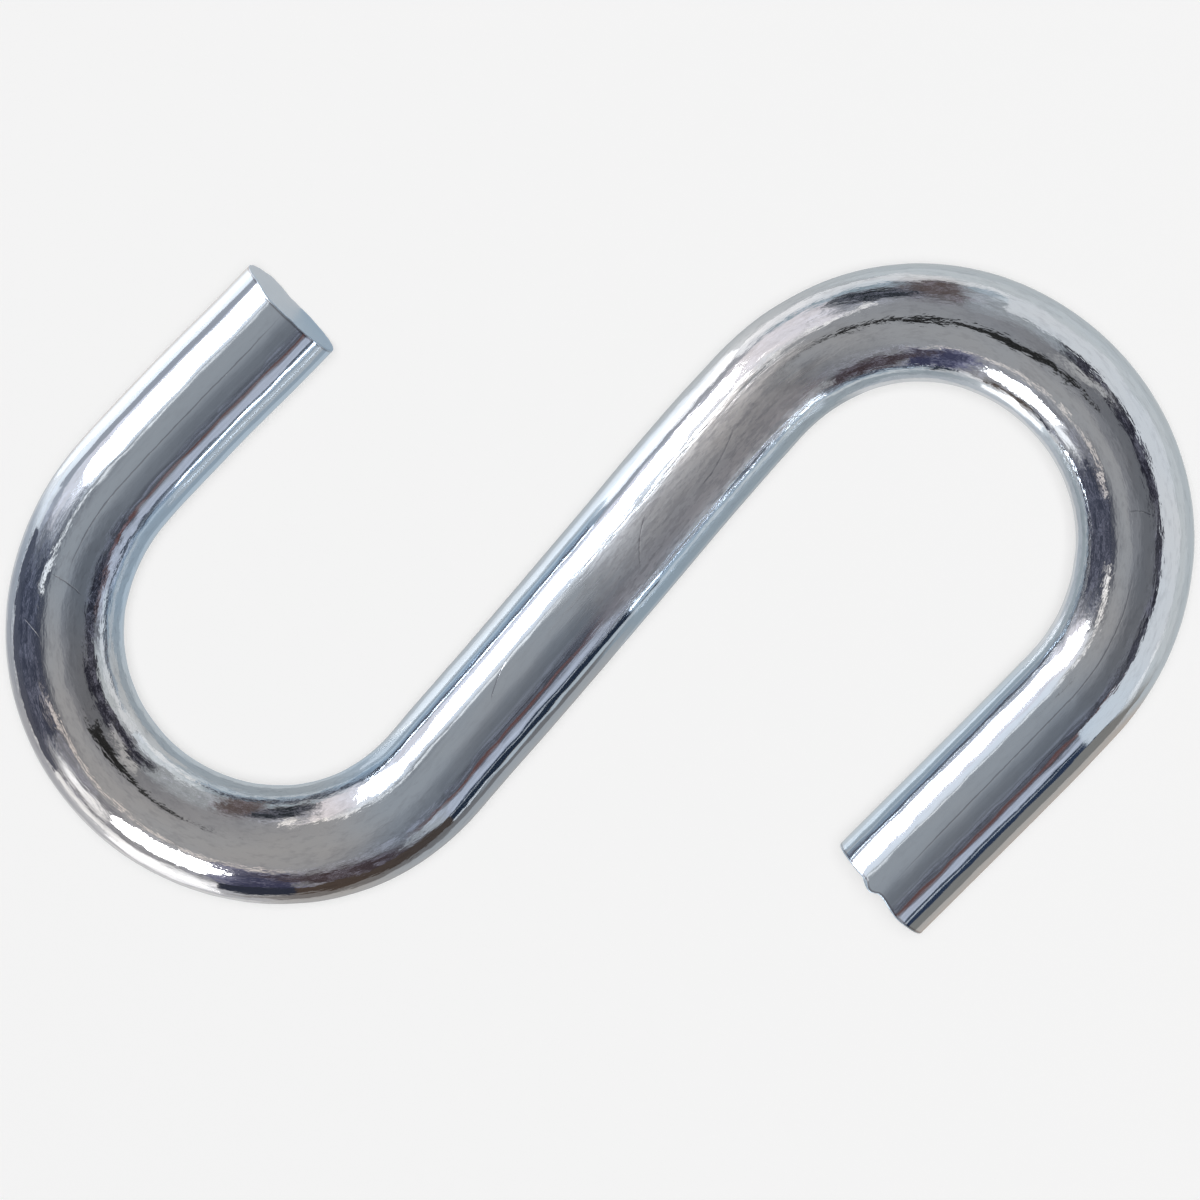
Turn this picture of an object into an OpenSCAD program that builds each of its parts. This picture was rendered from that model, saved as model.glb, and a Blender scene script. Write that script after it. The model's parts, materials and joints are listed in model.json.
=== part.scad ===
// S hook, made from one length of round steel wire and zinc plated.
// The wire is cropped on a shear, bent cold round a pin at each end so that
// the two eyes open opposite ways, and tumbled before it is plated.
//
// The hook lies flat on its side. +X is the line of pull, which runs through
// the centres of the two bends, +Z is up and Z = 0 is what the hook lies on.
// The origin is in the middle of its footprint. Lengths are in millimetres
// and angles in degrees.

/* [Wire] */
// Diameter of the wire
wire_d = 6.35; // [4:0.05:7.5]
// How much thinner the wire is through its bends, where it was stretched
bend_draw = 0.04; // [0.02:0.01:0.2]
// Length of the straight shank, from one bend to the other
shank_length = 26.2; // [16:0.1:60]

/* [Left eye] */
// Radius of the left bend, to the middle of the wire
left_bend_r = 11.4; // [8:0.1:18]
// Angle that the wire turns through in the left bend
left_bend_angle = 183.7; // [160:0.1:190]
// Length of the straight leg beyond the left bend
left_leg_length = 13; // [6:0.1:20]

/* [Right eye] */
// Radius of the right bend, to the middle of the wire
right_bend_r = 11.5; // [8:0.1:18]
// Angle that the wire turns through in the right bend
right_bend_angle = 184.2; // [160:0.1:190]
// Length of the straight leg beyond the right bend
right_leg_length = 14.5; // [6:0.1:20]

/* [Sheared ends] */
// Radius of the edge that the blade rolled over
roll_r = 0.6; // [0.55:0.05:1.5]
// Width, across the end face, of that rolled edge
roll_width = 0.5; // [0.2:0.05:0.5]
// Height of the lip that the blade tore up on the far side of the end face
lip_height = 0.12; // [0.05:0.01:0.2]
// Width of the slope that rises to that lip
lip_width = 0.9; // [0.4:0.05:1.5]
// Radius that tumbling leaves round the rim of each end
rim_r = 0.18; // [0.1:0.01:0.4]

/* [Smoothness] */
// Number of sides drawn round the wire
wire_sides = 40; // [24:4:64]
// Number of steps drawn in a full turn of a bend
bend_steps = 72; // [48:4:96]

/* [Hidden] */

wire_r = wire_d / 2;
bend_wire_r = (wire_d - bend_draw) / 2;

// Each straight length runs on this far into the end of the thinner bend.
run_on = 0.1;

// The shank crosses the line of pull at this angle, touching both bends.
shank_angle = atan2(left_bend_r + right_bend_r, shank_length);

// How far a leg's tip stands to the side of the line of pull.
function tip_reach(bend_r, bend_angle, leg_length) =
    let (lean = bend_angle - shank_angle)
    (leg_length - roll_r) * sin(lean) - (bend_r + wire_r - roll_width) * cos(lean) + roll_r;

left_reach = tip_reach(left_bend_r, left_bend_angle, left_leg_length);
right_reach = tip_reach(right_bend_r, right_bend_angle, right_leg_length);
upper_side = max(left_reach, right_bend_r + bend_wire_r);
lower_side = max(right_reach, left_bend_r + bend_wire_r);

// The middle of the shank and the middle of the footprint, each measured from
// the point on the line of pull that is halfway between the two bend centres.
bend_difference = right_bend_r - left_bend_r;
shank_middle = bend_difference / 2 * [-sin(shank_angle), cos(shank_angle)];
footprint_middle = [bend_difference / 2, (upper_side - lower_side) / 2];

// Lays its children, which stand along +Z, down along +X.
module lay_down() {
    rotate([90, 0, 90])
        children();
}

// A length of wire from the origin along +X, with a tumbled rim at its end.
module tumbled_wire(length) {
    lay_down()
        rotate_extrude(start = 0, $fn = wire_sides) {
            square([wire_r, length - rim_r]);
            square([wire_r - rim_r, length]);
            translate([wire_r - rim_r, length - rim_r])
                circle(r = rim_r, $fn = wire_sides);
        }
}

// Side view of what the shear leaves: the blade comes in from +Y, rolls the
// edge there, cuts the face square and tears up a low lip at -Y.
module shear_outline(length) {
    roll_y = wire_r - roll_width;
    lip_y = lip_width - wire_r;
    lip_slope = lip_height / lip_width;
    polygon([
        [-wire_d, roll_y],
        [-wire_d, -wire_d],
        [length + lip_slope * (wire_d + lip_y), -wire_d],
        [length, lip_y],
        [length, roll_y]
    ]);
    translate([-wire_d, roll_y])
        square([wire_d + length - roll_r, wire_d]);
    translate([length - roll_r, roll_y])
        circle(r = roll_r, $fn = bend_steps);
}

// A straight leg from the origin along +X, with its sheared end.
module leg(length) {
    intersection() {
        tumbled_wire(length + lip_height);
        linear_extrude(height = 2 * wire_d, center = true)
            shear_outline(length);
    }
}

// A bend about the origin and the leg beyond it. The wire arrives at
// [0, bend_r] heading +X and turns clockwise.
module eye(bend_r, bend_angle, leg_length) {
    rotate_extrude(angle = bend_angle, start = 90 - bend_angle, $fn = bend_steps)
        translate([bend_r, 0])
            circle(r = bend_wire_r, $fn = wire_sides);
    rotate(-bend_angle)
        translate([-run_on, bend_r, 0])
            leg(leg_length + run_on);
}

// The whole hook, built about the middle of its shank and then turned so that
// the line of pull lies along X.
module s_hook() {
    place = shank_middle - footprint_middle;
    color([0.72, 0.74, 0.78])
        translate([place[0], place[1], wire_r])
            rotate(shank_angle) {
                lay_down()
                    cylinder(d = wire_d, h = shank_length + 2 * run_on, center = true, $fn = wire_sides);
                translate([shank_length / 2, -right_bend_r, 0])
                    eye(right_bend_r, right_bend_angle, right_leg_length);
                rotate(180)
                    translate([shank_length / 2, -left_bend_r, 0])
                        eye(left_bend_r, left_bend_angle, left_leg_length);
            }
}

s_hook();
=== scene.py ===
import json
import math

import bpy
import numpy as np
from mathutils import Matrix, Vector


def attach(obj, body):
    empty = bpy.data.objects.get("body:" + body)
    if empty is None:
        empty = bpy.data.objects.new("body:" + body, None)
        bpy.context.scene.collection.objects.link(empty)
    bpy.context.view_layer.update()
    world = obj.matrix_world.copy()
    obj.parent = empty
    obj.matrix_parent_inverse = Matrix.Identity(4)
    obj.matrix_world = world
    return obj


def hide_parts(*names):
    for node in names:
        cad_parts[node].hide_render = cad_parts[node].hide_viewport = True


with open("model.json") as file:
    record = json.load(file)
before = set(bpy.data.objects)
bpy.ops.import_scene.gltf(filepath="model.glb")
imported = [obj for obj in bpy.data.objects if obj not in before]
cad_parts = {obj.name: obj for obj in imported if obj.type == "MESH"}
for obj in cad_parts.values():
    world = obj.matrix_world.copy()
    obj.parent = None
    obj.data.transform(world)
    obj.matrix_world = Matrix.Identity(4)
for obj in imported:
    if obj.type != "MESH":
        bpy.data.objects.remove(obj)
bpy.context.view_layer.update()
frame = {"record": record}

# An S hook, bent from round steel wire and zinc plated, lying flat on a pale
# table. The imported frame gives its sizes. The wire is swept here as one fine
# skin with its real marks: pressed bends, a flat on the shank, sheared ends.
#
# Two sets of coordinates are used:
#   the hook's own, in metres, +X along the line of pull, +Z up;
#   the straightened wire's, in millimetres: along it from the left tip, and
#   across it, towards the side that faces the right eye's outside, and up.

mm = 0.001


# Smooth step from 0 at low to 1 at high, by 3t^2 - 2t^3.
def smoothStep(low, high, value):
    t = np.clip((value - low) / (high - low), 0.0, 1.0)
    return t * t * (3.0 - 2.0 * t)


# Unit vector at a heading, turned from +X, and an angle down from straight up.
def direction(heading, fromTop):
    h, t = math.radians(heading), math.radians(fromTop)
    return Vector((math.sin(t) * math.cos(h), math.sin(t) * math.sin(h), math.cos(t)))


mounts = {mount["name"]: mount for mount in frame["record"]["mounts"]}
wireRadius = mounts["left_leg"]["dims"]["r_mm"]


# A leg's tip, its root at the bend, its unit direction and length, and the
# radius of its bend. The bend's centre is square to the root, and the seat
# lies on it, one inner radius out along the line of pull.
def readEye(side):
    leg, seat = mounts[side + "_leg"], mounts[side + "_seat"]
    aim = np.array(leg["axis"][:2])
    middle = np.array(leg["pos_m"][:2]) / mm
    length = leg["dims"]["length_mm"]
    root = middle - aim * length / 2
    inward = np.array([-aim[1], aim[0]])
    if np.dot(inward, -middle) < 0:
        inward = -inward
    radius = (seat["pos_m"][1] / mm - root[1]) / inward[1]
    return {"tip": middle + aim * length / 2, "aim": aim, "length": length,
            "radius": radius, "centre": root + inward * radius}


leftEye = readEye("left")
rightEye = readEye("right")


# The heading of the shank: from the left bend's centre to the right one's,
# turned by the angle whose sine is both radii over that distance.
def shankHeading():
    gap = rightEye["centre"] - leftEye["centre"]
    lean = math.asin((leftEye["radius"] + rightEye["radius"]) / np.hypot(*gap))
    return math.atan2(gap[1], gap[0]) + lean


# Where the bender left the wire a little off its true line: the place along it,
# how far it stands off towards the across side, and half the length of that, mm.
kinks = [(9.0, -0.13, 5.0), (16.0, 0.05, 4.0), (24.5, -0.05, 5.0), (31.5, 0.05, 5.0),
         (37.5, 0.06, 4.0), (50.0, 0.07, 4.0), (72.0, 0.06, 5.0), (78.5, -0.12, 4.5),
         (85.0, 0.10, 5.5), (108.5, -0.12, 5.0)]


# Sum of the kinks: each a hump that falls off as one over one plus a fourth power.
def standOff(s):
    places, heights, halves = (np.array(column)[:, None] for column in zip(*kinks))
    return (heights / (1 + ((s[None, :] - places) / halves) ** 4)).sum(axis=0)


# The wire's centreline by its length from the left tip. Its heading holds
# along each straight and turns evenly through each bend, so the place is the
# running sum of the heading's cosine and sine.
class WirePath:
    def __init__(self, samples=24001):
        out = math.atan2(*(-leftEye["aim"])[::-1])
        shank = shankHeading()
        home = math.atan2(*rightEye["aim"][::-1])
        leftTurn = (shank - out) % (2 * math.pi)
        rightTurn = (shank - home) % (2 * math.pi)
        gap = rightEye["centre"] - leftEye["centre"]
        reach = leftEye["radius"] + rightEye["radius"]
        shankLength = math.sqrt(np.dot(gap, gap) - reach ** 2)
        parts = [0.0, leftEye["length"], leftEye["radius"] * leftTurn, shankLength,
                 rightEye["radius"] * rightTurn, rightEye["length"]]
        self.knots = np.cumsum(parts)
        self.headings = [out, out, out + leftTurn, out + leftTurn,
                         out + leftTurn - rightTurn, out + leftTurn - rightTurn]
        self.length = self.knots[-1]
        self.s = np.linspace(0.0, self.length, samples)
        turn = np.interp(self.s, self.knots, self.headings)
        step = self.s[1] - self.s[0]
        run = np.zeros((samples, 2))
        for axis, part in enumerate((np.cos(turn), np.sin(turn))):
            run[1:, axis] = np.cumsum((part[1:] + part[:-1]) / 2) * step
        self.xy = run + leftEye["tip"]

    # The centre and heading at each length. Past its ends the line runs straight on.
    def at(self, s):
        heading = np.interp(s, self.knots, self.headings)
        past = s - np.clip(s, 0.0, self.length)
        x = np.interp(s, self.s, self.xy[:, 0]) + past * np.cos(heading)
        y = np.interp(s, self.s, self.xy[:, 1]) + past * np.sin(heading)
        return x, y, heading

    # How fully the wire is in a bend: 0 on the straights, 1 inside a bend.
    def bentness(self, s, blend):
        k = self.knots
        left = smoothStep(-blend, blend, s - k[1]) * smoothStep(-blend, blend, k[2] - s)
        right = smoothStep(-blend, blend, s - k[3]) * smoothStep(-blend, blend, k[4] - s)
        return left, right


path = WirePath()
missed = np.hypot(*(path.xy[-1] - rightEye["tip"]))
print("path: length %.2f mm, shank %.2f mm, right tip missed by %.3f mm"
      % (path.length, path.knots[3] - path.knots[2], missed))


wireForm = {
    "aroundCount": 112,        # faces round the wire
    "alongStep": 0.155,        # length of a face along the wire, mm
    "leftThinning": 0.0,       # how much each bend's radius shrinks in the hook's plane, mm
    "rightThinning": 0.06,
    "leftFlattening": 0.22,    # and square to that plane, where the tools pressed it, mm
    "rightFlattening": 0.08,
    "bendBlend": 4.0,          # how far from a bend's end that sets in, and is full, mm
    "flatDepth": 0.14,         # flat that the vice left along one side of the shank, mm
    "flatAlong": (43, 49, 75, 80),    # where it starts, is full, is still full and ends, mm
    # its share of that depth at angles from the top, in degrees
    "flatRound": ((20, 0), (28, 0.1), (58, 0.94), (66, 1), (75, 0.9), (100, 0)),
    "endFade": 2.0,            # length over which a sheared end's form dies away, mm
    "rimRadius": 0.09,         # rim softened by tumbling, mm
    "capRings": 26,            # rings of faces from the rim to the middle of an end
    "rimRings": 6,             # rings of faces round the rim
    "unevenHeight": 0.005,     # how far the skin strays from round, mm
    "unevenCount": 60,         # how many waves make that up
}


# Slow unevenness of the drawn and bent skin, in mm: a sum of seeded waves, each
# a cosine over the length and a whole number of turns round the wire, long along
# it and a millimetre or so across.
def unevenSkin(s, turn):
    seeded = np.random.default_rng(7)
    count = wireForm["unevenCount"]
    lengths = seeded.uniform(2.5, 12.0, count)
    turns = seeded.integers(2, 16, count)
    phases = seeded.uniform(0, 2 * math.pi, (count, 2))
    total = np.zeros((len(s), len(turn)))
    for length, rounds, (first, second) in zip(lengths, turns, phases):
        lengthwise = np.cos(2 * math.pi * s / length + first)[:, None]
        total += lengthwise * np.cos(rounds * turn + second)[None, :]
    return total * wireForm["unevenHeight"] * math.sqrt(2 / count)


# The two sheared faces, as heights over their flat along a line across the wire,
# all in mm: where they start, slopes as (middle, half length, rise), a burr where
# the crack from each side met, as (middle, half length, height), how far both drift
# sideways lower down, and how high the torn metal stands there.
shearedEnds = {
    "left": {"start": 0.16, "slopes": [(-1.5, 0.8, -0.2)], "burr": (0.9, 0.25, 0.03),
             "drift": 0.2, "torn": 0.010},
    "right": {"start": -0.31, "slopes": [(1.1, 0.9, 0.36)], "burr": (-0.25, 0.3, 0.27),
              "drift": 0.7, "torn": 0.035},
}


# Height of a sheared face over its flat: smooth steps for the slopes, and one over
# one plus a fourth power for the burr. Down from the upper edge both drift sideways
# by a sine, the burr dies away, and crossed sines make the torn metal.
def shearHeight(end, across, up):
    e = shearedEnds[end]
    edge = np.sqrt(np.clip(wireRadius ** 2 - across ** 2, 0, None))
    below = np.clip((edge - up) / wireRadius, 0, 2)
    moved = across + e["drift"] * np.sin(2.2 * below)
    middle, half, height = e["burr"]
    height = height * (1 - 0.8 * smoothStep(0.1, 1.2, below))
    total = e["start"] + height / (1 + ((moved - middle) / half) ** 4)
    for place, half, rise in e["slopes"]:
        total = total + rise * smoothStep(place - half, place + half, moved)
    # coarse tearing with a finer one over it
    torn = np.sin(4.1 * across + 2.3 * up) * np.sin(5.3 * up - 1.7 * across)
    torn = torn + 0.6 * np.sin(9.7 * across - 3.1 * up) * np.sin(7.9 * up + 4.3)
    return total + e["torn"] * torn * smoothStep(0.2, 0.8, below)


# Rings of the skin as rows: for each, the length along the wire, its radius and
# its share of the end's form. From the middle of the left end, out over its
# rim, along the wire and back in over the right rim.
def skinRows():
    f = wireForm
    rim = f["rimRadius"]
    inner = np.linspace(0.0, wireRadius - rim, f["capRings"], endpoint=False)
    turn = np.linspace(0.0, math.pi / 2, f["rimRings"] + 1)
    overRim = wireRadius - rim + rim * np.sin(turn)
    depth = rim * (1 - np.cos(turn))
    count = int((path.length - 2 * rim) / f["alongStep"])
    side = np.linspace(rim, path.length - rim, count + 1)[1:-1]
    radius = np.concatenate([inner, overRim, np.full(len(side), wireRadius), overRim[::-1], inner[::-1]])
    start = np.concatenate([np.zeros(len(inner)), depth])
    s = np.concatenate([start, side, path.length - start[::-1]])
    leftEnd = 1 - smoothStep(rim, f["endFade"], s)
    rightEnd = smoothStep(path.length - f["endFade"], path.length - rim, s)
    return s, radius, leftEnd, rightEnd


# The skin's points, ring by ring, in metres, and the same points on the
# straightened wire, in millimetres. Each ring is a circle square to the path. In a
# bend it is narrowed in the hook's plane and pressed lower square to it, the flat
# pushes it in, the kinks move it aside, and near an end the height of the sheared
# face slips it along the wire.
def skinPoints():
    f = wireForm
    s, radius, leftEnd, rightEnd = skinRows()
    turn = np.linspace(0.0, 2 * math.pi, f["aroundCount"], endpoint=False)
    acrossUnit, upUnit = np.sin(turn), np.cos(turn)
    left, right = path.bentness(s, f["bendBlend"])
    narrow = 1 - (left * f["leftThinning"] + right * f["rightThinning"]) / wireRadius
    low = 1 - (left * f["leftFlattening"] + right * f["rightFlattening"]) / wireRadius
    # the skin only strays inward, and not on the ends or where it rests on the table
    onSide = np.clip(radius / wireRadius, 0, 1) ** 8 * (1 + left + right)
    stray = -np.abs(unevenSkin(s, turn)) * onSide[:, None] * smoothStep(-1.0, -0.7, upUnit)
    start, full, still, end = f["flatAlong"]
    pressed = smoothStep(start, full, s) * (1 - smoothStep(still, end, s)) * f["flatDepth"]
    stray = stray - pressed[:, None] * np.interp(np.degrees(turn), *zip(*f["flatRound"]))
    across = (radius * narrow)[:, None] * acrossUnit + stray * acrossUnit
    up = (radius * low)[:, None] * upUnit + stray * upUnit
    rightFace, leftFace = shearHeight("right", across, up), shearHeight("left", across, up)
    slip = rightEnd[:, None] * rightFace - leftEnd[:, None] * leftFace
    x, y, heading = path.at(s)
    # past the ends the path runs straight on, so a slip is a move along the heading
    aside = across + standOff(s)[:, None]
    px = x[:, None] - np.sin(heading)[:, None] * aside + np.cos(heading)[:, None] * slip
    py = y[:, None] + np.cos(heading)[:, None] * aside + np.sin(heading)[:, None] * slip
    pz = wireRadius + up
    points = np.stack([px, py, pz], axis=-1) * mm
    straight = np.stack(np.broadcast_arrays(s[:, None], radius[:, None] * acrossUnit,
                                            radius[:, None] * upUnit), axis=-1)
    return points, straight


# Quads between neighbouring rings, and a fan of triangles at each end where
# the innermost ring shrinks to one point.
def skinFaces(rings, around, first):
    ring = np.arange(rings - 1)[:, None] * around
    here = np.arange(around)[None, :]
    after = (here + 1) % around
    quads = np.stack([ring + here, ring + after, ring + around + after, ring + around + here], axis=-1)
    quads = quads.reshape(-1, 4) + first
    startFan = np.stack([np.zeros(around, int), after[0] + first, here[0] + first], axis=-1)
    last = first + (rings - 1) * around
    endFan = np.stack([np.full(around, last + around), here[0] + last, after[0] + last], axis=-1)
    return quads, startFan, endFan


# The hook: its rings joined into one closed skin, which keeps for each point the
# place it has on the straightened wire.
def makeHook():
    points, straight = skinPoints()
    around = wireForm["aroundCount"]
    # the first and last rings have no radius: each becomes a single point
    body = points[1:-1].reshape(-1, 3)
    verts = np.vstack([points[:1, 0], body, points[-1:, 0]])
    local = np.vstack([straight[:1, 0], straight[1:-1].reshape(-1, 3), straight[-1:, 0]])
    quads, startFan, endFan = skinFaces(len(points) - 2, around, 1)
    faces = quads[:, ::-1].tolist() + startFan[:, ::-1].tolist() + endFan[:, ::-1].tolist()
    mesh = bpy.data.meshes.new("bentWire")
    mesh.from_pydata(verts.tolist(), [], faces)
    mesh.polygons.foreach_set("use_smooth", np.ones(len(mesh.polygons), bool))
    place = mesh.attributes.new("wirePlace", "FLOAT_VECTOR", "POINT")
    place.data.foreach_set("vector", local.astype(np.float32).ravel())
    mesh.validate()
    mesh.update()
    hook = bpy.data.objects.new("bent_wire", mesh)
    bpy.context.scene.collection.objects.link(hook)
    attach(hook, "root")
    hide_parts("s_hook")
    hook.visible_diffuse = False    # the table takes its shadow, but no glare off it
    print("hook: %d points, %d faces" % (len(verts), len(faces)))
    return hook


# One output socket of a shader. Sums and products on it add Math nodes.
class Field:
    def __init__(self, tree, socket=None):
        self.tree = tree
        self.socket = socket

    # Any node: its type, its settings, the values or links of its sockets, and
    # which output is wanted of it.
    def node(self, kind, settings=None, sockets=None, output=0):
        made = self.tree.nodes.new(kind)
        for name, value in (settings or {}).items():
            setattr(made, name, value)
        for name, value in (sockets or {}).items():
            if isinstance(value, Field):
                self.tree.links.new(value.socket, made.inputs[name])
            else:
                made.inputs[name].default_value = value
        return Field(self.tree, made.outputs[output] if made.outputs else None)

    # One Math node over these values, in this order.
    def math(self, operation, *values):
        sockets = dict(enumerate(values))
        return self.node("ShaderNodeMath", {"operation": operation}, sockets)

    def __add__(self, other):
        return self.math("ADD", self, other)

    def __sub__(self, other):
        return self.math("SUBTRACT", self, other)

    def __rsub__(self, other):
        return self.math("SUBTRACT", other, self)

    def __mul__(self, other):
        return self.math("MULTIPLY", self, other)

    def __truediv__(self, other):
        return self.math("DIVIDE", self, other)

    def __pow__(self, other):
        return self.math("POWER", self, other)

    __radd__ = __add__
    __rmul__ = __mul__

    # Smooth step of this value, from 0 at low to 1 at high.
    def step(self, low, high):
        return self.node("ShaderNodeMapRange", {"interpolation_type": "SMOOTHSTEP"},
                         {"Value": self, "From Min": low, "From Max": high})

    # Colour that goes from one to another as this mask goes from 0 to 1.
    def blend(self, low, high):
        return self.node("ShaderNodeMix", {"data_type": "RGBA"}, {"Factor": self, 6: low, 7: high}, 2)

    # This vector times a constant one, part by part.
    def scaled(self, *factors):
        return self.node("ShaderNodeVectorMath", {"operation": "MULTIPLY"}, {0: self, 1: factors})

    # One of this vector's three parts.
    def part(self, axis):
        return self.node("ShaderNodeSeparateXYZ", None, {0: self}, axis)

    # Noise over this vector, 0 to 1, and mostly near a half.
    def noise(self, scale, detail=2.0, roughness=0.5):
        sockets = {"Vector": self, "Scale": scale, "Detail": detail, "Roughness": roughness}
        return self.node("ShaderNodeTexNoise", {"noise_dimensions": "3D"}, sockets)


zinc = {
    "coolTone": (0.68, 0.76, 0.845, 1),    # on the straights
    "warmTone": (0.795, 0.775, 0.76, 1),   # where bending has stretched it
    "edgeTone": (0.36, 0.40, 0.43, 1),     # painted shade at a glancing angle: it darkens the outline
    "grimeTone": (0.30, 0.30, 0.33, 1),    # grime in the scratches; along the sharp rims, painted shade
    "shearTone": (0.545, 0.64, 0.73, 1),   # on the sheared ends
    "shearReach": (0.05, 0.11),            # how deep that tone is full, and ends, mm
    "rimReach": (0.10, 0.22),              # and the painted shade on the rims, mm
    "roughness": 0.075,
    "worn": 0.42,              # roughness added where it is rubbed, or sheared
    "dieLine": 0.0009,         # depth of the fine lines left by the drawing die, mm
    "strokes": 0.0010,         # depth of the short strokes all over, mm
    "fibres": 0.006,           # depth of the long scuffs where it is rubbed, mm
    "bendStrokes": 0.005,      # and where a bend has stretched the skin, mm
    "scratchDepth": 0.006,     # mm
}

# Scratches: the middle along the wire in mm and round it in degrees from the top,
# the heading across the skin in degrees, and length, width and bow in mm.
scratches = [
    (9.5, 8, 0, 20, 0.05, 0.15),
    (115.0, 3, 0, 22, 0.05, -0.2),
    (19.0, 8, 68, 2.2, 0.05, 0.2),
    (21.5, -22, 50, 1.6, 0.05, 0.1),
    (56.0, 8, 20, 2.4, 0.04, 0.1),
    (66.5, -10, 35, 3.2, 0.05, 0.2),
    (72.5, -18, 12, 4.0, 0.06, -0.2),
    (102.0, 12, 75, 1.3, 0.05, 0.1),
]

# Where the shank was rubbed as the right bend was made: along the wire in mm, then
# round it in degrees, each as where it starts, is full, is still full and ends.
rubbed = {"along": (59, 66, 76, 81), "round": (-50, -42, 6, 20)}


# How far this value is inside a stretch given as start, full, still full, end.
def within(value, stretch):
    start, full, still, end = stretch
    return value.step(start, full) * (1 - value.step(still, end))


# How near this length is to either tip: 1 as far in as the first, 0 past the second.
def nearTips(along, reach):
    full, end = reach
    return 1 - within(along, (full, end, path.length - end, path.length - full))


# One scratch: 1 on its middle line, a parabola bowed over its length and shaken by
# the strokes, and smoothly less towards its sides and its two ends.
def scratchMask(along, angle, strokes, scratch):
    s, middle, heading, length, width, bow = scratch
    h = math.radians(heading)
    x, y = along - s, (angle - math.radians(middle)) * wireRadius
    lengthwise, sideways = x * math.cos(h) + y * math.sin(h), y * math.cos(h) - x * math.sin(h)
    bowed = lengthwise * lengthwise * (4 * bow / length ** 2)
    sideways = sideways + bowed + (strokes - 0.5) * (2 * width)
    side = 1 - sideways.math("ABSOLUTE", sideways).step(width * 0.3, width)
    return side * (1 - lengthwise.math("ABSOLUTE", lengthwise).step(length * 0.3, length * 0.5))


# The zinc, over the straightened wire's coordinates, which the mesh carries in mm.
# Every mark is a mask from 0 to 1. Noises stretched along the wire make its grain:
# the masks say how deep that grain is cut, how rough it is and which tone shows.
def makeZinc():
    z, knots = zinc, path.knots
    material, start = newMaterial("bright_zinc_plate")
    place = start.node("ShaderNodeAttribute", {"attribute_name": "wirePlace"}, output="Vector")
    along, across, up = place.part(0), place.part(1), place.part(2)
    angle = along.math("ARCTAN2", across, up)
    leftBent = within(along, (knots[1] - 1, knots[1] + 5, knots[2] - 4, knots[2] + 2))
    rightBent = within(along, (knots[3] - 12, knots[3] + 3, knots[4] - 5, knots[4] + 2))
    bent = leftBent + rightBent
    sheared = nearTips(along, z["shearReach"])
    # the rims round the ends, which get painted shade
    rimShade = nearTips(along, z["rimReach"]) - sheared
    dieLine = place.scaled(0.02, 1, 1).noise(4.0, 3, 0.6)
    strokes = place.scaled(0.35, 1, 1).noise(4.0, 2, 0.6)
    fibres = place.scaled(0.07, 1, 1).noise(2.6, 4, 0.65)
    mottle = place.scaled(0.3, 1, 1).noise(3.2, 3, 0.7)
    cuts = scratchMask(along, angle, strokes, scratches[0])
    for scratch in scratches[1:]:
        cuts = cuts.math("MAXIMUM", cuts, scratchMask(along, angle, strokes, scratch))
    # the rubbed length's edges are as ragged as its fibres
    ragged = (fibres - 0.5) * 0.8
    rub = within(along + ragged * 10, rubbed["along"])
    rub = rub * within(angle + ragged, tuple(math.radians(a) for a in rubbed["round"]))
    height = dieLine * (bent + 1) * (2 * z["dieLine"]) - cuts * z["scratchDepth"]
    height = height + strokes * ((bent + sheared + rub) * (2 * z["bendStrokes"]) + 2 * z["strokes"])
    height = height + rub * fibres * (2 * z["fibres"])
    bump = start.node("ShaderNodeBump", None, {"Height": height, "Distance": mm, "Strength": 1.0})
    # warm where the metal was stretched or rubbed, and in slow clouds everywhere
    stretched = within(along, (knots[1] + 5, knots[1] + 14, knots[2] - 7, knots[2] - 2))
    clouds = place.scaled(0.3, 1, 1).noise(0.5, 2) - 0.5
    warmth = stretched * 0.95 + rightBent * 0.6 + rub * 0.5 + clouds * 0.8
    base = warmth.blend(z["coolTone"], z["warmTone"])
    # painted shade: at a glancing angle the base darkens, so the wire's outline is drawn darker
    glance = start.node("ShaderNodeLayerWeight", None, {"Blend": 0.5}, "Facing")
    base = glance.step(0.74, 1.0).blend(base, z["edgeTone"])
    # grime in the rubbed fibres, and in the strokes, most of it in the bends
    shade = rub * (fibres.step(0.48, 0.66) * 0.5 + mottle.step(0.46, 0.6) * 0.9)
    shade = shade + (bent * 0.35 + 0.2) * strokes.step(0.45, 0.75)
    # scratches hold grime; the rims of the ends get painted shade in the same tone
    base = (shade * 0.4 + cuts * 0.5 + rimShade * 0.8).blend(base, z["grimeTone"])
    base = (sheared * 0.9).blend(base, z["shearTone"])
    shader = start.node("ShaderNodeBsdfPrincipled", None,
                        {"Base Color": base, "Metallic": 1.0, "Normal": bump,
                         "Roughness": (rub * (mottle + 0.5) + sheared) * z["worn"] + z["roughness"]})
    start.node("ShaderNodeOutputMaterial", None, {"Surface": shader})
    return material


# An empty material, and a start for its nodes.
def newMaterial(name):
    material = bpy.data.materials.new(name)
    material.use_nodes = True
    material.node_tree.nodes.clear()
    return material, Field(material.node_tree)


# A studio piece from its points, in millimetres, and faces. It isn't part of the hook.
def stagePiece(name, points, faces, material):
    mesh = bpy.data.meshes.new(name)
    mesh.from_pydata((np.array(points, float) * mm).tolist(), [], faces)
    mesh.materials.append(material)
    piece = bpy.data.objects.new(name, mesh)
    bpy.context.scene.collection.objects.link(piece)
    return piece


# Leaves a studio piece to be seen in the hook alone.
def mirroredOnly(piece):
    piece.visible_camera = False
    piece.visible_diffuse = False
    piece.visible_shadow = False


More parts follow.
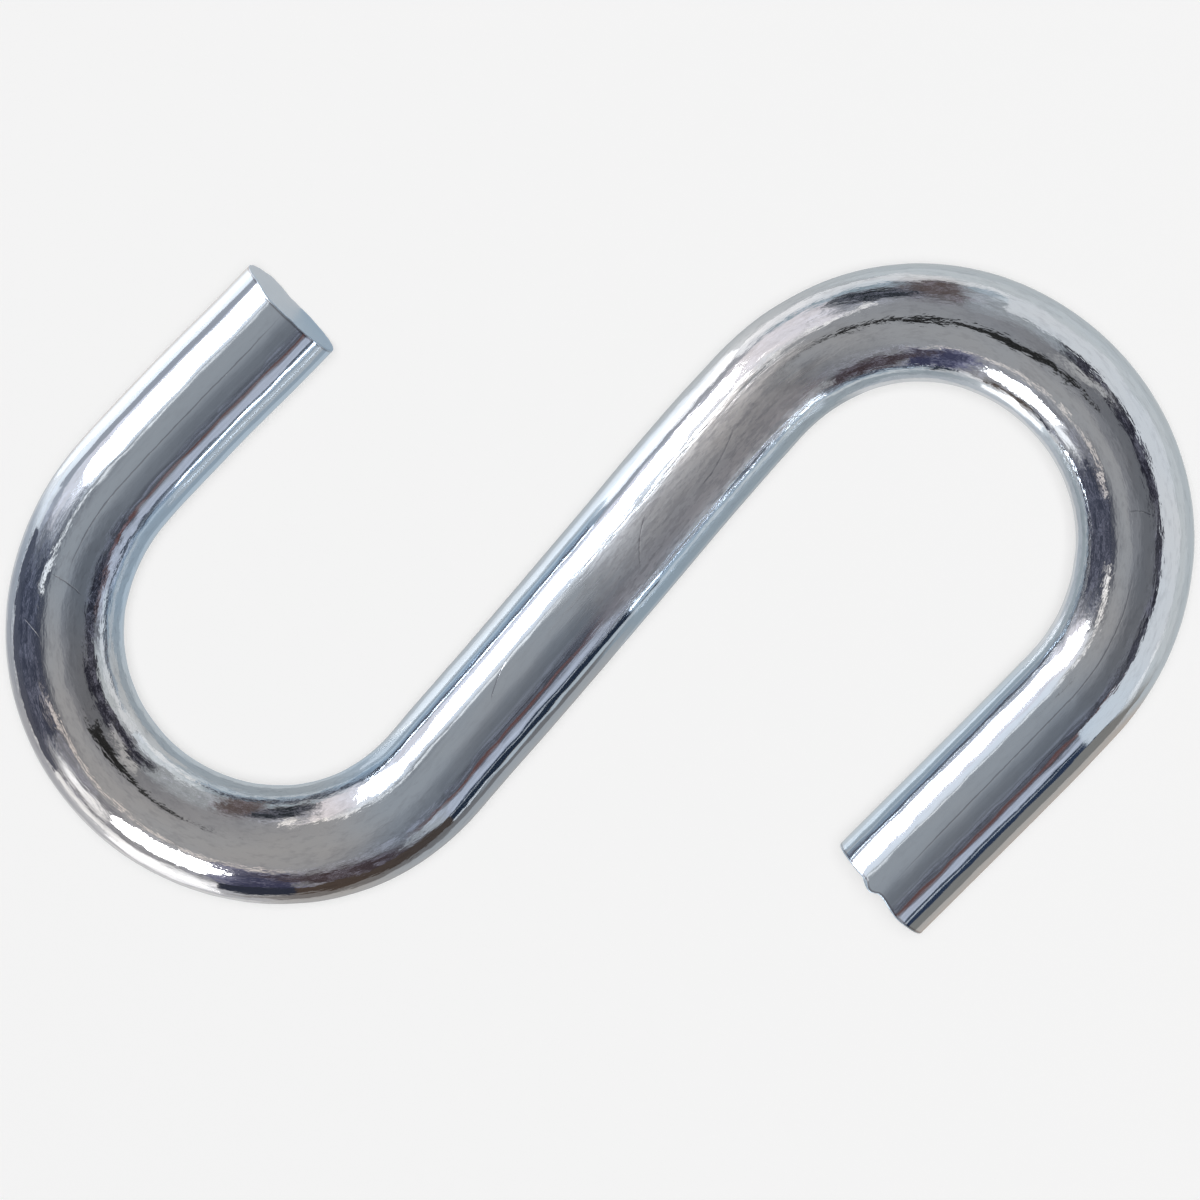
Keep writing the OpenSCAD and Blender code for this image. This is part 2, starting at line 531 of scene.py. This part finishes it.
# A white sheet, lit from under as well, so that shadows on it stay faint. The camera
# sees it matt; the hook sees it polished, so that it mirrors the room and the lamps.
table = {
    "tone": (0.40, 0.40, 0.40, 1),
    "glow": 0.65,
    "roughness": 0.4,          # of the sheet
    "polish": 0.5,             # how much of a clear, sharp gloss lies over it
    "polishRoughness": 0.03,
    "size": 6.0,               # metres
    "thickness": 0.01,         # what each sheet on it adds, mm
    "sheetFade": 2.5,          # length over which each painted-reflection sheet's ends fade, mm
}


# A glowing sheet: its own tone under the lamps, a glow, and the clear gloss over both. The table is one;
# the sheets by the wire only glow, as painted reflections. Only its upper side shows: from under, and
# where it is faded, it is clear.
def glowingSheet(name, tone, glowTone, glow, polish):
    material, start = newMaterial(name)
    shader = start.node("ShaderNodeBsdfPrincipled", None,
                        {"Base Color": tone, "Roughness": table["roughness"],
                         "Specular IOR Level": min(polish, 0.5), "Coat Weight": polish,
                         "Coat Roughness": table["polishRoughness"],
                         "Emission Color": glowTone, "Emission Strength": glow})
    clear = start.node("ShaderNodeBsdfTransparent")
    under = start.node("ShaderNodeNewGeometry", output="Backfacing")
    faded = start.node("ShaderNodeAttribute", {"attribute_name": "faded"}, output="Fac")
    hidden = start.math("MAXIMUM", under, faded)
    surface = start.node("ShaderNodeMixShader", None, {0: hidden, 1: shader, 2: clear})
    start.node("ShaderNodeOutputMaterial", None, {"Surface": surface})
    return material


# Two squares, with their middles under the middle of the hook: the matt table, and
# its polish a hair above it.
def makeTable():
    half = table["size"] / 2 / mm
    layers = (("table", 0.0, 0.0), ("table_polish", table["thickness"], table["polish"]))
    for name, lift, polish in layers:
        corners = [(-half, -half, lift), (half, -half, lift), (half, half, lift), (-half, half, lift)]
        look = glowingSheet(name + "_white", table["tone"], (1, 1, 1, 1), table["glow"], polish)
        piece = stagePiece(name, corners, [(0, 1, 2, 3)], look)
        if polish > 0:
            mirroredOnly(piece)
    print("table: %.1f m square" % table["size"])


# Plain pale dome round it all, which only the camera sees: its radius in metres, and
# how far down from straight up it reaches, in degrees.
backdrop = {"radius": 2.9, "down": 92, "tone": (0.80, 0.80, 0.80)}


# Rings of points on a sphere round the vertical, each a little further down, closed
# by a fan at the top and facing inward.
def makeBackdrop():
    around, rings = 64, 20
    heading = np.linspace(0, 2 * math.pi, around, endpoint=False)[None, :]
    fromTop = np.radians(np.linspace(0, backdrop["down"], rings + 1)[1:])[:, None]
    reach = backdrop["radius"] / mm
    dome = np.stack(np.broadcast_arrays(reach * np.sin(fromTop) * np.cos(heading),
                                        reach * np.sin(fromTop) * np.sin(heading),
                                        reach * np.cos(fromTop)), axis=-1)
    quads, fan, _ = skinFaces(rings, around, 1)
    points = np.vstack([[(0, 0, reach)], dome.reshape(-1, 3)])
    faces = quads[:, ::-1].tolist() + fan[:, ::-1].tolist()
    piece = glowPiece("backdrop", points, faces, backdrop["tone"])
    piece.visible_camera = True
    piece.visible_glossy = False
    print("backdrop: %d faces" % len(faces))


# Glowing sheets by the wire, unseen by the camera: painted reflections, with painted shade, which set
# what its flanks mirror in place of the table. Each is a ribbon along the wire, from one length to
# another and from one distance to another across it, in mm, then its tone, how much it is polished and
# how much shorter its outer edge is at each end. Where two overlap, the later is on top.
paintedReflectionSheets = [
    ("left leg, outside", -12, 14, 3, -16, (0.84, 0.79, 0.75), 0.5, -2),
    ("left eye, outside", 16, 40, -6.5, -18, (0.42, 0.43, 0.46), 0.5, 2),
    ("left eye, outside, near", 14, 39, 0, -6.5, (0.66, 0.66, 0.67), 0.5, 0),
    ("left eye, mouth", -4, 15, 11, 20, (0.36, 0.415, 0.46), 0.3, 0),
    ("left eye, inside", -12, 48, 6, 11, (0.36, 0.415, 0.46), 0.3, 0),
    ("left eye, inside, near", -12, 48, 0, 6, (0.52, 0.585, 0.635), 0.3, 0),
    ("turn into the shank", 37, 62, -9, -18, (0.20, 0.19, 0.185), 0.5, 2),
    ("under the shank", 58, 84, -5, -18, (0.35, 0.40, 0.43), 0.5, 3),
    ("near the shank", 38, 62, 0, -9, (0.44, 0.435, 0.43), 0.5, 1),
    ("nearer the shank", 58, 84, 0, -5, (0.46, 0.49, 0.51), 0.5, 3),
    ("over the shank", 47, 90, 0, 14, (0.50, 0.52, 0.53), 0.5, 3),
    ("right eye, outside", 80, 115, 8.5, 30, (0.62, 0.66, 0.68), 0, 8),
    ("right eye, outside, nearer", 80, 114, 4, 8.5, (0.53, 0.57, 0.59), 0.3, 2),
    ("right eye, outside, near", 82, 114, 0, 4, (0.64, 0.67, 0.68), 0.3, 1),
    ("right eye, inside", 80, 113, -6.5, -11, (0.46, 0.50, 0.54), 0.5, 0),
    ("right eye, inside, near", 82, 112, 0, -6.5, (0.68, 0.69, 0.70), 0.5, -3),
    ("right leg, inside", 113, 139, 0, -8, (0.60, 0.63, 0.64), 0.5, 0),
    ("right leg, near", 109, 139, 0, 8, (0.55, 0.48, 0.42), 0, 3),
    ("right leg, outside", 110, 139, 8, 24, (0.26, 0.24, 0.215), 0, 2),
    ("right leg, far", 112, 139, 24, 600, (0.03, 0.045, 0.08), 0, 0),
]


# Each sheet's two edges are the wire's centreline moved square to itself, and its
# faces are turned up. It fades out half over each end's line and half short of it.
def makePaintedReflectionSheets():
    count = 64
    for number, (name, first, last, near, far, tone, polish, shorter) in enumerate(paintedReflectionSheets):
        edges, faded = [], []
        for out, cut in ((near, 0), (far, shorter)):
            cut = cut - table["sheetFade"] / 2
            s = np.linspace(first + cut, last - cut, count + 1)
            faded.append(1 - smoothStep(0, table["sheetFade"], np.minimum(s - s[0], s[-1] - s)))
            x, y, heading = path.at(s)
            lift = np.full(count + 1, 2 * table["thickness"] + table["thickness"] * number)
            edges.append(np.stack([x - np.sin(heading) * out, y + np.cos(heading) * out, lift], axis=-1))
        faces = [(i, i + 1, i + 2 + count, i + 1 + count) for i in range(count)]
        # black under the lamps, only a glow: a painted reflection
        look = glowingSheet(name, (0, 0, 0, 1), (*tone, 1), 1.0, polish)
        order = slice(None) if near < far else slice(None, None, -1)
        piece = stagePiece(name, np.vstack(edges[order]), faces, look)
        held = piece.data.attributes.new("faded", "FLOAT", "POINT")
        held.data.foreach_set("value", np.concatenate(faded[order]))
        mirroredOnly(piece)
    print("sheets by the wire: %d" % len(paintedReflectionSheets))


# Plain glowing surface, seen only in reflections.
def glowPiece(name, points, faces, tone):
    material, start = newMaterial(name)
    glow = start.node("ShaderNodeEmission", None, {"Color": (*tone, 1), "Strength": 1.0})
    start.node("ShaderNodeOutputMaterial", None, {"Surface": glow})
    piece = stagePiece(name, points, faces, material)
    mirroredOnly(piece)
    return piece


# Glowing cards standing on the table, painted reflections which only the hook mirrors: a tall pale one
# round the right eye, and low ones round the left, whose place by the wire decides what its sides
# mirror. Each is a wall over an arc: the arc's middle, its radius, the headings it runs from and to, in
# degrees, its height and its tone. In mm.
leftMiddle = tuple(leftEye["centre"])
leftLegMiddle = tuple(leftEye["tip"] - leftEye["aim"] * leftEye["length"] / 2)
paintedReflectionCards = [
    ("pale_card", (17.3, 0.5), 40, -57, 63, 21.3, (0.74, 0.77, 0.80)),
    ("brown_strip", leftMiddle, 28, 262, 302, 5.9, (0.08, 0.06, 0.05)),
    ("navy_strip", leftMiddle, 34, 300, 335, 4.6, (0.02, 0.03, 0.05)),
    ("blue_strip", leftMiddle, 32, 152, 203, 5.8, (0.10, 0.105, 0.135)),
    ("dusk_strip", leftMiddle, 28, 245, 262, 5.9, (0.03, 0.035, 0.055)),
    ("grey_strip", leftLegMiddle, 40, 100, 158, 10, (0.42, 0.42, 0.45)),
]


# Each card's line is an arc round its middle, walled up to its height.
def makePaintedReflectionCards():
    count = 24
    for name, middle, radius, first, last, height, tone in paintedReflectionCards:
        turn = np.radians(np.linspace(first, last, count + 1))
        x, y = middle[0] + radius * np.cos(turn), middle[1] + radius * np.sin(turn)
        low = np.stack([x, y, np.zeros(count + 1)], axis=-1)
        high = low + (0, 0, height)
        faces = [(i, i + 1, i + 2 + count, i + 1 + count) for i in range(count)]
        glowPiece(name, np.vstack([low, high]), faces, tone)
    print("cards round the hook: %d" % len(paintedReflectionCards))


# A bent black arm over the hook, only a dark glow that the hook mirrors: a painted reflection. By points
# along it and its width at each, in mm.
arm = {
    "points": ((78, 50, 214), (40, 48, 214), (12, 36, 214),
               (1, 37, 214), (-10, 43, 214), (-34, 42, 214)),
    "widths": (16, 24, 36, 32, 18, 8),
    "tone": (0.02, 0.02, 0.02),
}


# A flat strip along the arm's line: half its width goes to each side, square to
# the way the line runs there.
def makeArm():
    line = np.array(arm["points"], float)
    run = np.gradient(line, axis=0)
    side = np.cross(run, (0, 0, 1)) / np.linalg.norm(run, axis=1)[:, None]
    side *= np.array(arm["widths"])[:, None] / 2
    count = len(line)
    faces = [(i, i + 1, i + 1 + count, i + count) for i in range(count - 1)]
    glowPiece("black_arm", np.vstack([line - side, line + side]), faces, arm["tone"])
    print("arm: %d points" % count)


# Softboxes: where each stands, seen from the middle of the hook, its size in metres,
# how far it is turned about its own axis, and how bright its face is.
softboxes = [
    {"name": "upperBox", "heading": 139, "fromTop": 60, "distance": 0.30,
     "width": 0.082, "height": 0.20, "roll": -18, "glow": 10},
    {"name": "lowerBox", "heading": 224.5, "fromTop": 66, "distance": 0.20,
     "width": 0.076, "height": 0.084, "roll": 0, "glow": 11},
]


# Ellipses of light, each facing the middle of the hook. The power is the face's
# brightness times pi times its area. Only the hook's reflections show them.
def makeSoftboxes():
    for box in softboxes:
        light = bpy.data.lights.new(box["name"], "AREA")
        light.shape = "ELLIPSE"
        light.size = box["width"]
        light.size_y = box["height"]
        area = math.pi / 4 * box["width"] * box["height"]
        light.energy = box["glow"] * math.pi * area
        lamp = bpy.data.objects.new(box["name"], light)
        aim = direction(box["heading"], box["fromTop"])
        roll = Matrix.Rotation(math.radians(box["roll"]), 3, "Z")
        turn = aim.to_track_quat("Z", "Y").to_matrix() @ roll
        lamp.matrix_world = Matrix.Translation(aim * box["distance"]) @ turn.to_4x4()
        lamp.visible_diffuse = False
        lamp.visible_camera = False
        bpy.context.scene.collection.objects.link(lamp)
    print("softboxes: %d" % len(softboxes))


# The room as the hook mirrors it: soft patches of tone, later ones over earlier
# ones. For each: the heading and the angle from straight up of its middle, half
# its width and height, how far its heading leans for each degree down, how soft
# its edge is as a share of its size, and its tone. Angles are in degrees.
room = {
    "tone": (0.275, 0.28, 0.30),
    "speckle": (0.18, 0.18, 0.22),     # what the clutter in it adds here and there
    "speckleScale": 16.0,
    "speckleDown": (35, 50),           # it sets in over these angles from straight up
    "ragged": 0.32,                    # how far the patches' edges stray, in radians
    "raggedScale": 9.0,
    "patches": [
        ("pale ceiling, left", 190, 24, 95, 26, 0, 0.7, (0.385, 0.385, 0.39)),
        ("dim ceiling, right", 345, 44, 65, 32, 0, 0.5, (0.165, 0.17, 0.185)),
        ("grey wall, right", 57, 73, 18, 30, 0, 0.3, (0.35, 0.38, 0.40)),
        ("pale wall, right", 50, 87, 18, 12, 0, 0.1, (0.67, 0.73, 0.77)),
        ("teal wall, back", 98, 88, 34, 7, 0, 0.4, (0.33, 0.40, 0.44)),
        ("lilac wall, front", 316, 80, 23, 12, 0, 0.12, (0.52, 0.53, 0.59)),
        ("pale window", 12, 78, 17, 14, 0, 0.25, (0.51, 0.55, 0.57)),
        ("dark doorway", 22, 53, 26, 14, 0, 0.2, (0.02, 0.02, 0.03)),
        ("dark corner, front", 322, 58, 30, 11, 0, 0.5, (0.06, 0.06, 0.07)),
        ("brown trim, front", 304, 62.5, 16, 3.2, 0, 0.4, (0.15, 0.07, 0.06)),
        ("brown trim, corner", 329, 69, 12, 2.5, 0, 0.5, (0.14, 0.075, 0.065)),
        ("dark corner, side", 338, 58, 21, 10, 0, 0.3, (0.025, 0.025, 0.035)),
        ("dark gap, front", 335, 90, 45, 4.5, 0, 0.2, (0.02, 0.035, 0.06)),
        ("bright slit", 39, 38, 4, 14, -0.5, 0.6, (0.5, 0.5, 0.5)),
        ("glow behind the upper box", 132, 62, 21, 22, 0, 0.15, (0.85, 0.80, 0.82)),
        ("grey skirting", 143, 87, 17, 4, 0, 0.3, (0.44, 0.44, 0.47)),
        ("glow over the upper box", 139, 40, 15, 4, 0, 0.4, (0.9, 0.9, 0.92)),
        ("navy cloth", 178, 70, 21, 40, 0, 0.3, (0.05, 0.055, 0.08)),
        ("grey gap", 207, 70, 8, 22, 0, 0.4, (0.22, 0.22, 0.24)),
        ("small white lamp", 207, 72, 7, 9, 0, 0.6, (1.15, 1.15, 1.15)),
        ("violet edge", 243, 68, 6, 20, 0.2, 0.5, (0.15, 0.15, 0.27)),
        ("blue screen", 249, 76, 8.5, 26, 0.2, 0.25, (0.05, 0.052, 0.10)),
        ("brown screen", 275, 80, 15, 24, 0.6, 0.3, (0.06, 0.043, 0.047)),
        ("pale gap", 291, 74, 5, 10, 0, 0.5, (0.45, 0.45, 0.45)),
        ("brown stand", 84, 72, 7, 24, 0, 0.5, (0.11, 0.085, 0.08)),
        ("black stand", 98, 65, 9, 13, 0.3, 0.35, (0.02, 0.025, 0.03)),
        ("foot of the lower box", 228, 86, 9, 8, 0, 0.4, (0.30, 0.30, 0.31)),
    ],
    # the tent's bright seam over each box, a thin arch that fades out downward: like
    # a patch, but then how far it drops for a degree of heading, and its thickness
    "seamFade": (43, 56),
    "seams": [
        ("upper seam", 132, 72, 34, 38, -0.25, 1.2, (1.3, 1.25, 1.2)),
        ("lower seam", 226, 80, 38, 39, 0.25, 1.2, (1.05, 0.95, 0.88)),
    ],
}


# Turn from a middle heading to this one, wrapped to lie within half a turn.
def turnFrom(heading, middle):
    return heading.math("WRAP", heading - math.radians(middle), -math.pi, math.pi)


# How far the view's heading and its angle from the top are from a patch's
# middle, as shares of its half sizes.
def patchReach(heading, fromTop, middle, down, halfWidth, halfHeight, slant):
    drop = fromTop - math.radians(down)
    turned = (heading - math.radians(middle)) - drop * slant
    # the shorter way round: up to half a turn, then back down
    wide = turned.math("PINGPONG", turned, math.pi) / math.radians(halfWidth)
    high = drop.math("ABSOLUTE", drop) / math.radians(halfHeight)
    return wide, high


# The room is all painted on the sky. Noise shakes each view's heading and angle, so
# that edges are ragged. A patch's mask is one smooth step down across its width,
# times another across its height. A seam's is a thin line where the fourth powers
# of both reaches add up to one. Noise adds the clutter's speckle at the end.
def makeRoom():
    world = bpy.data.worlds.new("room")
    world.use_nodes = True
    world.node_tree.nodes.clear()
    start = Field(world.node_tree)
    look = start.node("ShaderNodeTexCoord", None, output="Generated")
    ragged = look.noise(room["raggedScale"], 3, 0.6) - 0.5
    heading = look.math("ARCTAN2", look.part(1), look.part(0)) + ragged * room["ragged"]
    fromTop = look.math("ARCCOSINE", look.part(2)) + ragged * room["ragged"]
    tone = (*room["tone"], 1)
    for name, middle, down, halfWidth, halfHeight, slant, soft, patchTone in room["patches"]:
        wide, high = patchReach(heading, fromTop, middle, down, halfWidth, halfHeight, slant)
        mask = (1 - wide.step(1 - soft, 1 + soft)) * (1 - high.step(1 - soft, 1 + soft))
        tone = mask.blend(tone, (*patchTone, 1))
    fading = 1 - fromTop.step(*(math.radians(angle) for angle in room["seamFade"]))
    for name, middle, down, halfWidth, halfHeight, tilt, thick, seamTone in room["seams"]:
        turned = fromTop - turnFrom(heading, middle) * tilt
        wide, high = patchReach(heading, turned, middle, down, halfWidth, halfHeight, 0)
        out = (wide ** 4 + high ** 4) ** 0.25
        off = out.math("ABSOLUTE", out - 1.0)
        mask = (1 - off.step(0, 2 * thick / halfHeight)) * fading
        tone = mask.blend(tone, (*seamTone, 1))
    speckled = look.noise(room["speckleScale"], 4, 0.65).step(0.48, 0.64)
    speckled = speckled * fromTop.step(*(math.radians(angle) for angle in room["speckleDown"]))
    tone = start.node("ShaderNodeMix", {"data_type": "RGBA", "blend_type": "ADD"},
                      {"Factor": speckled, 6: tone, 7: (*room["speckle"], 1)}, 2)
    glow = start.node("ShaderNodeBackground", None, {"Color": tone, "Strength": 1.0})
    start.node("ShaderNodeOutputWorld", None, {"Surface": glow})
    world.cycles.sampling_method = "NONE"
    world.cycles_visibility.diffuse = False    # it is only mirrored, and lights nothing
    bpy.context.scene.world = world
    print("room: %d patches, %d seams" % (len(room["patches"]), len(room["seams"])))


# A broad square lamp that lights the table and lays the hook's shadow on it.
overhead = {"size": 0.4, "power": 13.0, "heading": 9.16, "fromTop": 8.85, "distance": 1.4}


# It hangs the given distance from the middle of the hook, and faces straight down.
def makeOverhead():
    light = bpy.data.lights.new("overhead", "AREA")
    light.size = overhead["size"]
    light.energy = overhead["power"]
    lamp = bpy.data.objects.new("overhead", light)
    lamp.location = direction(overhead["heading"], overhead["fromTop"]) * overhead["distance"]
    lamp.visible_glossy = False
    lamp.visible_camera = False
    bpy.context.scene.collection.objects.link(lamp)
    print("overhead lamp: %.0f W" % overhead["power"])


# Camera: what it looks at, how far off it is, how it leans from straight down and
# to which heading, how far the line of pull rises across the view, in degrees,
# and its lens in mm.
camera = {
    "aim": (0.156 * mm, -0.199 * mm, 3.175 * mm),
    "distance": 428.3 * mm,
    "lean": 8.85,
    "leanHeading": 9.16,
    "rise": 8.24,
    "lens": 242.6,
}


# Its three axes: back, from what it looks at to its place, right, square to that
# and to the view's up, and up, square to both.
def makeCamera():
    c = camera
    data = bpy.data.cameras.new("camera")
    data.lens = c["lens"]
    data.sensor_width = 36
    data.clip_start = 0.01
    back = direction(c["leanHeading"], c["lean"])
    rise = math.radians(c["rise"])
    right = Vector((math.sin(rise), math.cos(rise), 0)).cross(back).normalized()
    up = back.cross(right)
    place = Vector(c["aim"]) + back * c["distance"]
    view = bpy.data.objects.new("camera", data)
    view.matrix_world = Matrix.Translation(place) @ Matrix((right, up, back)).transposed().to_4x4()
    bpy.context.scene.collection.objects.link(view)
    bpy.context.scene.camera = view
    print("camera: %.0f mm off" % (c["distance"] / mm))


hook = makeHook()
hook.data.materials.append(makeZinc())
print("zinc: %d scratches" % len(scratches))
makeTable()
makeBackdrop()
makePaintedReflectionSheets()
makePaintedReflectionCards()
makeArm()
makeSoftboxes()
makeOverhead()
makeRoom()
makeCamera()
bpy.context.scene.view_settings.view_transform = "Standard"
